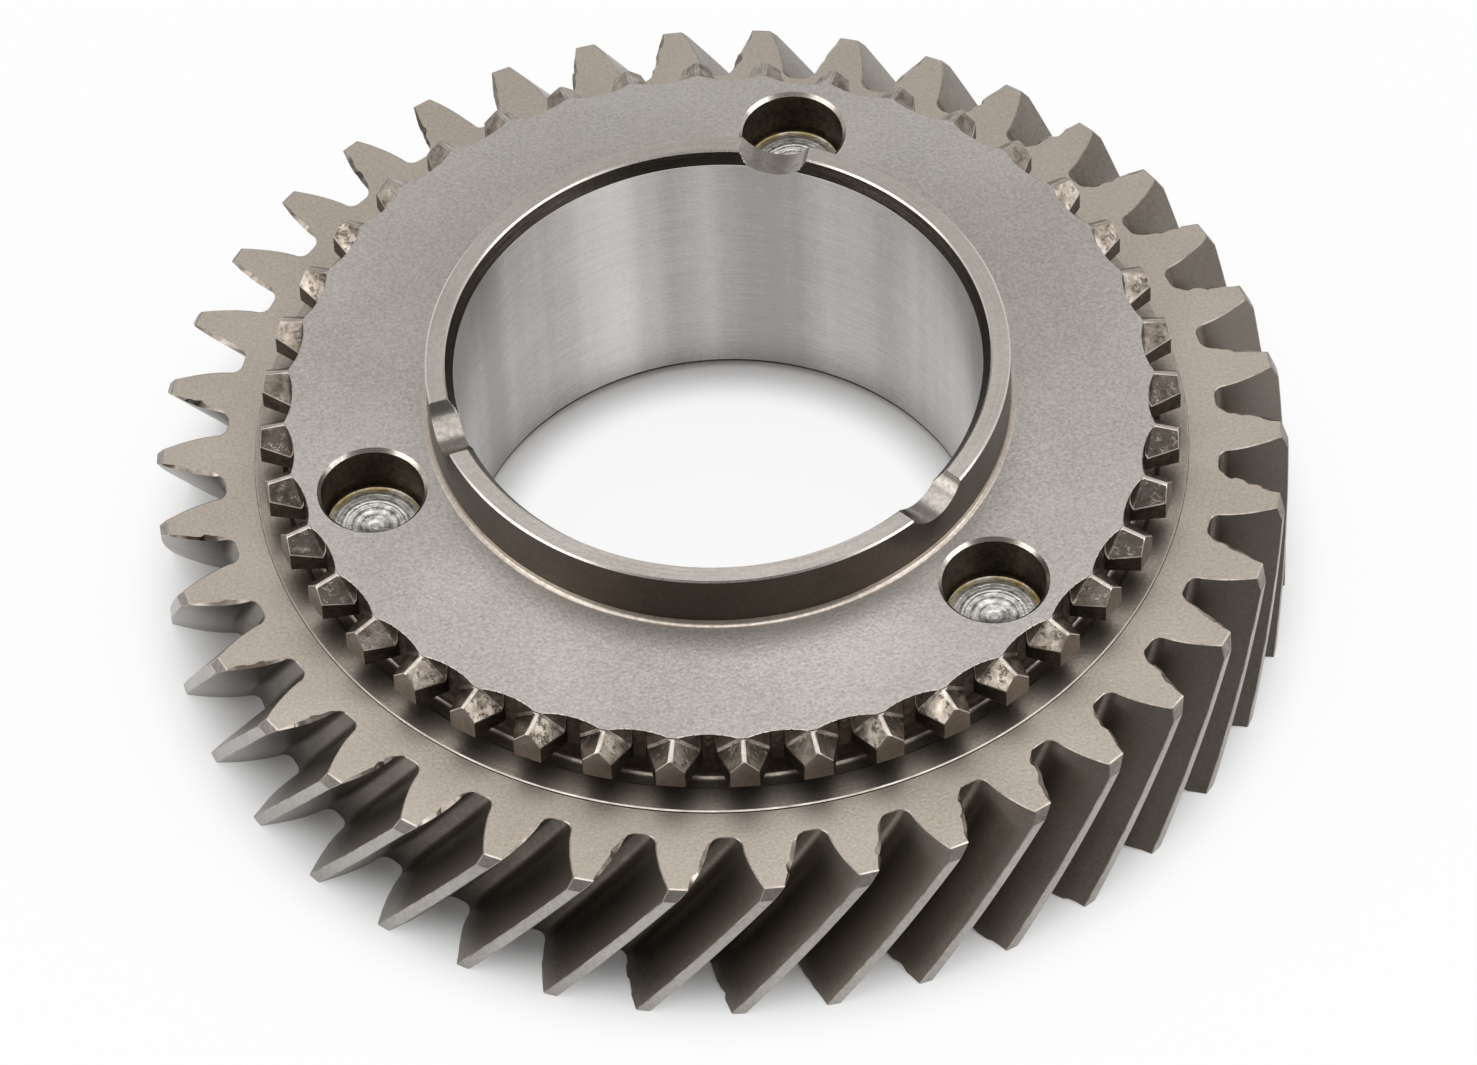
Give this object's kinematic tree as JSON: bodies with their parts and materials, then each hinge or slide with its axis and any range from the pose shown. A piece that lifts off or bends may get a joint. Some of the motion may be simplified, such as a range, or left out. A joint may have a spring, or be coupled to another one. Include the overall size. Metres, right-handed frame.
{
  "type": "transmission gear",
  "caption": "Helical transmission gear with a ring of pointed clutch teeth, a plain bored hub with a notched collar, and blind holes in the hub face.",
  "frame": {"origin": "centre of the bore at the flat back face", "axes": "+Z along the bore axis, from the back face towards the collar; +X is square to it, toward the right of the picture"},
  "size_m": [0.1944, 0.1944, 0.0563],
  "materials": {
    "gear_steel": "bare ground and milled steel, matt faces, polished bore"
  },
  "bodies": {
    "root": {"gear": "gear_steel"}
  },
  "joints": []
}
